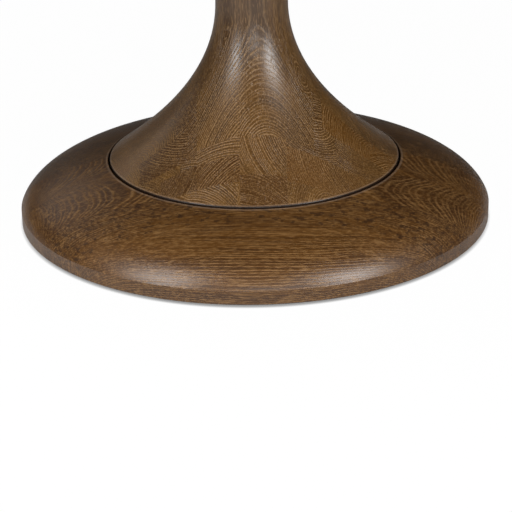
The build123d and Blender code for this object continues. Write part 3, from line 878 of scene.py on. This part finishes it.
baseShape = {
    "stepsAround": 320,
    "profileSteps": 28,
    "height": 0.114,           # underside to the lip round the foot
    "bandHeight": 0.027,
    "underChamfer": 0.002,
    "shoulderAngle": 67.0,     # of the dome where it leaves the band, from level
    "shoulderReach": 0.044,
    "lipAngle": 14.5,          # of the dome at the lip
    "lipReach": 0.096,
    "lipEasing": 0.002,
    "grooveWidth": 0.0025,
    "boreRadius": 0.0095,
    "letInPlay": 0.001,        # round the steel plate
    "plateDepth": 0.030,
    "wellRadius": 0.021,
    "wellDepth": 0.014,
}


def baseProfile(shape):
    rim, under = baseHigh[0], baseLow[2]
    crest = under + shape["height"]
    recess = pedestalHigh[0] + shape["grooveWidth"]
    floor = pedestalLow[2]
    pocket = plateHigh[0] + shape["letInPlay"]
    roof = under + shape["plateDepth"]
    shoulder = aim(180 - shape["shoulderAngle"], shape["shoulderReach"])
    return [
        corner(pocket, under),
        corner(rim - shape["underChamfer"], under),
        corner(rim, under + shape["underChamfer"]),
        corner(rim, under + shape["bandHeight"], None, shoulder),
        *easedCorner(recess, crest, 180 - shape["lipAngle"], 270, shape["lipEasing"], shape["lipReach"]),
        corner(recess, floor),
        corner(shape["boreRadius"], floor),
        corner(shape["boreRadius"], roof),
        corner(pocket, roof),
    ]


pedestalShape = {
    "stepsAround": 256,
    "profileSteps": 28,
    "footEdge": 0.012,         # plain edge that stands in the base's recess
    "footEasing": 0.0016,
    "flareAngle": 35.0,        # of the flare where it leaves the foot's edge
    "flareReach": 0.143,
    "neckRadius": 0.06875,
    "neckHeight": 0.428,       # floor to the narrowest place
    "neckLength": 0.022,
    "neckReach": 0.125,
    "headRadius": 0.180,
    "headEdge": 0.012,
    "headEasing": 0.002,
    "headAngle": 40.0,
    "headReach": 0.066,
    "boreRadius": 0.0095,
    "hollowRadius": 0.150,     # of the bell-shaped hollow over the foot block
    "hollowHeight": 0.190,
    "hollowMouthReach": 0.090,
    "hollowNeckReach": 0.080,
}


def pedestalProfile(shape):
    foot, under, head = pedestalHigh[0], pedestalLow[2], pedestalHigh[2]
    neck, bore = shape["neckRadius"], shape["boreRadius"]
    flare = 180 - shape["flareAngle"]
    hollowFloor = footHigh[2]
    return [
        corner(footHigh[0], under),
        corner(foot, under),
        *easedCorner(foot, under + shape["footEdge"], 90, flare, shape["footEasing"], 0, shape["flareReach"]),
        corner(neck, shape["neckHeight"], aim(270, shape["neckReach"]), None),
        corner(neck, shape["neckHeight"] + shape["neckLength"], None, aim(90, shape["neckReach"])),
        *easedCorner(shape["headRadius"], head - shape["headEdge"], shape["headAngle"], 90,
                     shape["headEasing"], shape["headReach"]),
        corner(shape["headRadius"], head),
        corner(headHigh[0], head),
        corner(headHigh[0], headLow[2]),
        corner(bore, headLow[2]),
        corner(bore, hollowFloor + shape["hollowHeight"], None, aim(270, shape["hollowNeckReach"])),
        corner(shape["hollowRadius"], hollowFloor, aim(flare, shape["hollowMouthReach"]), None),
        corner(footHigh[0], hollowFloor),
    ]


topShape = {
    "stepsAround": 400,
    "profileSteps": 24,
    "bandHeight": 0.024,
    "undercut": 0.120,         # how far in the underside reaches its full depth
    "undercutReach": 0.060,
    "undercutAngle": 40.0,     # of the underside where it meets the band
    "undercutTurn": 0.018,
    "edgeEasing": 0.003,
    "nutRadius": 0.031,
    "nutDepth": 0.024,
    "slotPlay": 0.001,         # round the steel channels
}


def topProfile(shape):
    rim, under, face = topHigh[0], topLow[2], topHigh[2]
    turnIn = aim(180 + shape["undercutAngle"], shape["undercutTurn"])
    return [
        corner(0, under + shape["nutDepth"]),
        corner(shape["nutRadius"], under + shape["nutDepth"]),
        corner(shape["nutRadius"], under),
        corner(rim - shape["undercut"], under, None, aim(0, shape["undercutReach"])),
        corner(rim, face - shape["bandHeight"], turnIn, None),
        *easedCorner(rim, face, 90, 180, shape["edgeEasing"]),
        corner(0, face),
    ]


footCount = 6

basePiece = makePiece(
    "turnedBase", baseProfile(baseShape), True, baseShape, turnedWithWells,
    underside=baseLow[2],
    wellCount=footCount,
    wellCircleRadius=(padLow[0] + padHigh[0]) / 2,
    finish=baseOak,
)
standIn(basePiece, "base_disc", "root")
pedestalPiece = makePiece(
    "turnedPedestal", pedestalProfile(pedestalShape), True, pedestalShape, turned,
    finish=pedestalOak,
)
standIn(pedestalPiece, "pedestal", "root")
topPiece = makePiece(
    "turnedTop", topProfile(topShape), False, topShape, turnedWithSlots,
    underside=topLow[2],
    slotOffset=(channelLow[0] + channelHigh[0]) / 2,
    slotWidth=channelHigh[0] - channelLow[0] + 2 * topShape["slotPlay"],
    slotLength=channelHigh[1] - channelLow[1] + 2 * topShape["slotPlay"],
    slotDepth=channelHigh[2] - channelLow[2],
    finish=topOak,
)
standIn(topPiece, "tabletop", "root")
print("base, pedestal and top turned")

# levelling feet: a moulded pad and a threaded stud at each

ribSizes = [
    ("Ribs", "Int", 24),
    ("Rib Depth", "Float", 0.0004),
    ("Rib Low", "Float", 0.001),
    ("Rib High", "Float", 0.007),
    ("Rib Inside", "Float", 0.0155),
    ("Rib Runout", "Float", 0.0006),
]


def ribsGroup():
    # draws a turned piece's rim in between ribs, as on a moulded grip
    inputs = [("Mesh", "Geometry", None), *ribSizes]
    tree, given, out = startGroup("ribs", inputs, [("Mesh", "Geometry")], "GeometryNodeTree")
    x, y, z = split(tree, put(tree, "GeometryNodeInputPosition")[0])
    low, high, inside, runout = given["Rib Low"], given["Rib High"], given["Rib Inside"], given["Rib Runout"]
    rise = ramp(tree, z, low, calc(tree, "ADD", low, runout))
    fall = ramp(tree, z, high, calc(tree, "SUBTRACT", high, runout))
    outer = ramp(tree, lengthOf(tree, x, y), inside, calc(tree, "ADD", inside, runout))
    wave = calc(tree, "COSINE", times(tree, calc(tree, "ARCTAN2", y, x), given["Ribs"]))
    depth = times(tree, given["Rib Depth"], calc(tree, "SUBTRACT", wave, 1.0))
    outwards = calcVector(tree, "NORMALIZE", join(tree, x, y))
    step = scaled(tree, outwards, times(tree, rise, fall, outer, depth))
    mesh = put(tree, "GeometryNodeSetPosition", {"Geometry": given["Mesh"], "Offset": step})[0]
    wire(tree, mesh, out["Mesh"])
    return tree


def padTree():
    tree, given, out, mesh = startPiece("mouldedPad", [*ribSizes, ("Place", "Vector", None)])
    mesh = useGroup(tree, ribs, {"Mesh": mesh, **passOn(given, ribSizes)})["Mesh"]
    return endPiece(tree, given, out, shifted(tree, mesh, given["Place"]))


threadSizes = [
    ("Rod Steps", "Int", 24),
    ("Rows Per Turn", "Int", 8),
    ("Rod Radius", "Float", 0.004),
    ("Thread Depth", "Float", 0.0006),
    ("Pitch", "Float", 0.00125),
    ("Rod Low", "Float", 0.0),
    ("Rod High", "Float", 0.03),
    ("Tip Bevel", "Float", 0.001),
    ("Root End", "Float", 0.08),
    ("Crest Start", "Float", 0.42),
]


def threadGroup():
    # a bar whose skin follows a screw thread cut into it, with a plain start and a bevelled tip
    tree, given, out = startGroup("thread", threadSizes, [("Mesh", "Geometry")], "GeometryNodeTree")
    low, high, pitch, bevel = given["Rod Low"], given["Rod High"], given["Pitch"], given["Tip Bevel"]
    length = calc(tree, "SUBTRACT", high, low)
    bar = put(tree, "GeometryNodeMeshCylinder", {
        "Vertices": given["Rod Steps"],
        "Side Segments": times(tree, calc(tree, "DIVIDE", length, pitch), given["Rows Per Turn"]),
        "Radius": given["Rod Radius"],
        "Depth": length,
    })["Mesh"]
    bar = shifted(tree, bar, join(tree, 0, 0, times(tree, calc(tree, "ADD", high, low), 0.5)))
    x, y, z = split(tree, put(tree, "GeometryNodeInputPosition")[0])
    turn = calc(tree, "DIVIDE", calc(tree, "ARCTAN2", y, x), 2 * pi)
    along = calc(tree, "SUBTRACT", calc(tree, "DIVIDE", z, pitch), turn)
    valley = ramp(tree, calc(tree, "PINGPONG", along, 0.5), given["Crest Start"], given["Root End"])
    started = ramp(tree, z, low, calc(tree, "ADD", low, pitch))
    tip = times(tree, ramp(tree, z, calc(tree, "SUBTRACT", high, bevel), high), bevel)
    cut = calc(tree, "MAXIMUM", times(tree, valley, started, given["Thread Depth"]), tip)
    share = calc(tree, "SUBTRACT", 1.0, calc(tree, "DIVIDE", cut, given["Rod Radius"]))
    place = join(tree, times(tree, x, share), times(tree, y, share), z)
    wire(tree, put(tree, "GeometryNodeSetPosition", {"Geometry": bar, "Position": place})[0], out["Mesh"])
    return tree


def studTree():
    # ball, six-sided collar with its corners turned off, and threaded bar, made one
    sizes = [*threadSizes, ("Collar Radius", "Float", 0.0075), ("Planed To", "Float", 0.018),
             ("Place", "Vector", None)]
    tree, given, out, blank = startPiece("threadedStud", sizes)

    def combine(operation, meshes):
        node = tree.nodes.new("GeometryNodeMeshBoolean")
        node.operation = operation
        node.solver = "MANIFOLD"
        for mesh in meshes:
            tree.links.new(mesh, node.inputs["Mesh 2"])
        return node.outputs["Mesh"]

    # the collar's flats are planed off the turned blank, above the ball
    prism = put(tree, "GeometryNodeMeshCylinder", {
        "Vertices": 6,
        "Radius": given["Collar Radius"],
        "Depth": times(tree, given["Planed To"], 2.0),
    })["Mesh"]
    rod = useGroup(tree, thread, passOn(given, threadSizes))["Mesh"]
    stud = combine("UNION", [combine("INTERSECT", [blank, prism]), rod])
    stud = weld(tree, stud, closeness["threaded"])
    return endPiece(tree, given, out, shifted(tree, stud, given["Place"]))


ribs = ribsGroup()
mouldedPad = padTree()
thread = threadGroup()
threadedStud = studTree()

footShape = {
    "profileSteps": 6,
    "padSteps": 192,
    "studSteps": 48,
    "rodSteps": 24,
    "rowsPerTurn": 8,
    "padEdge": 0.0007,        # bevel round the pad's sole
    "padShoulder": 0.0025,
    "ballMiddle": 0.0065,     # above the floor
    "socketRadius": 0.00505,
    "ballRadius": 0.00498,
    "ribs": 24,
    "ribDepth": 0.0004,
    "ribRunout": 0.0006,
    "ribMargin": 0.0007,      # the rim's plain strip below and above the ribs
    "neckRadius": 0.0034,
    "seatGap": 0.0003,
    "collarAcross": 0.013,    # across its flats
    "collarHeight": 0.0059,
    "collarBevel": 0.0006,
    "rodRadius": 0.004,
    "threadDepth": 0.00055,
    "pitch": 0.00125,
    "rootEnd": 0.08,          # shares of the pitch, from the middle of the thread's root
    "crestStart": 0.42,
    "tipBevel": 0.001,
    "overlap": 0.001,         # of the bar with the collar, and of the plane's cut past it
}


def bowlCorners(middle, radius, first, last):
    # an arc about a point on the axis, in degrees from level; first to last is the way the profile runs
    turn = radians(last - first)
    pull = radius * tan(abs(turn) / 4) * 4 / 3
    way = 90 if last > first else -90
    start, end = aim(first, radius), aim(last, radius)
    return [
        corner(start.x, middle + start.y, None, aim(first + way, pull)),
        corner(end.x, middle + end.y, -aim(last + way, pull), None),
    ]


def padProfile(shape, radius, top):
    mouth = degrees(asin((top - shape["ballMiddle"]) / shape["socketRadius"]))
    return [
        corner(0, 0),
        corner(radius - shape["padEdge"], 0),
        corner(radius, shape["padEdge"]),
        corner(radius, shape["padEdge"] + shape["ribMargin"]),
        corner(radius, top - shape["padShoulder"] - shape["ribMargin"]),
        corner(radius, top - shape["padShoulder"]),
        corner(radius - shape["padShoulder"], top),
        *bowlCorners(shape["ballMiddle"], shape["socketRadius"], mouth, -90),
    ]


def studProfile(shape, low, high):
    # the turned blank: ball, then the collar's round outline with bevelled corners
    neck = degrees(acos(shape["neckRadius"] / shape["ballRadius"]))
    outline = shape["collarAcross"] / 2 + shape["collarBevel"]
    return [
        *bowlCorners(shape["ballMiddle"], shape["ballRadius"], -90, neck),
        corner(shape["neckRadius"], low),
        corner(outline - shape["collarBevel"], low),
        corner(outline + shape["collarBevel"], low + shape["collarBevel"]),
        corner(outline + shape["collarBevel"], high - shape["collarBevel"]),
        corner(outline - shape["collarBevel"], high),
        corner(0, high),
    ]


def makeFoot(number, shape):
    pad, stud = f"leveller_pad_{number}", f"leveller_stud_{number}"
    low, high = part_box(pad)
    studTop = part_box(stud)[1][2]
    place = ((low[0] + high[0]) / 2, (low[1] + high[1]) / 2, 0.0)
    radius, top = (high[0] - low[0]) / 2, high[2]
    piece = makePiece(
        f"ribbedPad{number}", padProfile(shape, radius, top), False, shape, mouldedPad,
        stepsAround=shape["padSteps"],
        ribLow=shape["padEdge"],
        ribHigh=top - shape["padShoulder"],
        ribInside=radius - shape["padShoulder"],
        place=place,
        finish=finishes["nylon"],
    )
    standIn(piece, pad, pad)
    low = top + shape["seatGap"]
    high = low + shape["collarHeight"]
    piece = makePiece(
        f"threadedStud{number}", studProfile(shape, low, high), False, shape, threadedStud,
        stepsAround=shape["studSteps"],
        rodLow=high - shape["overlap"],
        rodHigh=studTop,
        collarRadius=shape["collarAcross"] / 2 / cos(pi / 6),
        planedTo=high + shape["overlap"],
        place=place,
        finish=finishes["zinc_steel"],
    )
    standIn(piece, stud, stud)


for number in range(1, footCount + 1):
    makeFoot(number, footShape)
print("levelling feet made")

# floor, surroundings and lamps

studio = {
    "floorSize": 40.0,
    "floorColour": (0.62, 0.62, 0.62, 1),
    "floorGlow": 0.985,      # share of plain white that the camera sees on the floor
    "floorShine": 0.08,      # and that reflections see
    "contactReach": 0.007,   # how far the painted soft shadow, from ambient occlusion, reaches where the table meets the floor
    "worldStrength": 0.15,
    "flagRadius": 3.4,       # dark cloth hung round and over the set, which only reflections show
    "flagHeight": 3.2,
    "flagSteps": 48,
    "flagColour": (0.02, 0.018, 0.016, 1),
}


def stagePiece(name, points, faces, colour):
    # a plain matt sheet of the studio
    mesh = bpy.data.meshes.new(name)
    mesh.from_pydata(points, [], faces)
    piece = bpy.data.objects.new(name, mesh)
    bpy.context.scene.collection.objects.link(piece)
    material, tree, surface = newMaterial(name)
    surface["Base Color"].default_value = colour
    surface["Roughness"].default_value = 1.0
    mesh.materials.append(material)
    return piece, tree, surface


def makeFloor(setup):
    half = setup["floorSize"] / 2
    points = [(-half, -half, 0), (half, -half, 0), (half, half, 0), (-half, half, 0)]
    floor, tree, surface = stagePiece("floor", points, [(0, 1, 2, 3)], setup["floorColour"])
    surface["Specular IOR Level"].default_value = 0.0
    rays = put(tree, "ShaderNodeLightPath")
    shine = times(tree, rays["Is Glossy Ray"], setup["floorShine"])
    seen = calc(tree, "MULTIPLY_ADD", rays["Is Camera Ray"], setup["floorGlow"], shine)
    # painted shadow: the white the camera sees on the floor is dimmed by ambient occlusion near the table,
    # not by the lamps
    paintedShadowOpenness = put(tree, "ShaderNodeAmbientOcclusion", {"Distance": setup["contactReach"]})["AO"]
    glow = put(tree, "ShaderNodeEmission", {"Color": (1, 1, 1, 1), "Strength": paintedShadowOpenness})[0]
    paper = tree.nodes["Principled BSDF"].outputs[0]
    mixed = put(tree, "ShaderNodeMixShader", {0: seen, 1: paper, 2: glow})[0]
    wire(tree, mixed, tree.nodes["Material Output"].inputs["Surface"])


def makeWorld(setup):
    world = bpy.data.worlds.new("studio")
    bpy.context.scene.world = world
    world.use_nodes = True
    tree = world.node_tree
    rays = put(tree, "ShaderNodeLightPath")
    seen = calc(tree, "MAXIMUM", rays["Is Glossy Ray"], rays["Is Transmission Ray"])
    seen = calc(tree, "MAXIMUM", rays["Is Camera Ray"], seen)
    background = tree.nodes["Background"]
    background.inputs["Color"].default_value = (1, 1, 1, 1)
    wire(tree, blendValue(tree, seen, setup["worldStrength"], 1.0), background.inputs["Strength"])


def makeFlags(setup):
    steps = setup["flagSteps"]
    points = []
    for height in (0.0, setup["flagHeight"]):
        for step in range(steps):
            x, y = aim(360 * step / steps, setup["flagRadius"])
            points.append((x, y, height))
    faces = [(i, (i + 1) % steps, steps + (i + 1) % steps, steps + i) for i in range(steps)]
    faces.append(list(range(steps, 2 * steps)))
    flags, tree, surface = stagePiece("flags", points, faces, setup["flagColour"])
    flags.visible_camera = False
    flags.visible_diffuse = False
    flags.visible_shadow = False


lamps = {
    "leftSoftbox": {"turn": -44, "distance": 1.9, "height": 1.13, "width": 0.70, "tall": 0.95, "power": 27},
    "highSoftbox": {"turn": -50, "distance": 1.3, "height": 2.20, "width": 0.9, "tall": 0.9, "power": 34},
    "frontFill": {"turn": 4, "distance": 2.3, "height": 0.75, "width": 1.2, "tall": 0.5, "power": 11},
    "rightSoftbox": {"turn": 44, "distance": 1.9, "height": 1.18, "width": 0.72, "tall": 0.9, "power": 34},
    "sheenPanel": {"turn": -138, "distance": 2.3, "height": 1.20, "width": 1.3, "tall": 0.7, "power": 2.0},
}
lampTarget = Vector((0, 0, 0.15))


def makeLamps(setup):
    for name, box in setup.items():
        data = bpy.data.lights.new(name, "AREA")
        data.shape = "RECTANGLE"
        data.size = box["width"]
        data.size_y = box["tall"]
        data.energy = box["power"]
        lamp = bpy.data.objects.new(name, data)
        bpy.context.scene.collection.objects.link(lamp)
        lamp.visible_diffuse = name != "sheenPanel"
        turn = radians(box["turn"])    # from straight in front of the table, to the right
        lamp.location = (box["distance"] * sin(turn), -box["distance"] * cos(turn), box["height"])
        lamp.rotation_euler = (lampTarget - lamp.location).to_track_quat("-Z", "Y").to_euler()


makeFloor(studio)
makeWorld(studio)
makeFlags(studio)
makeLamps(lamps)
bpy.context.scene.view_settings.view_transform = "Standard"
print("studio set")
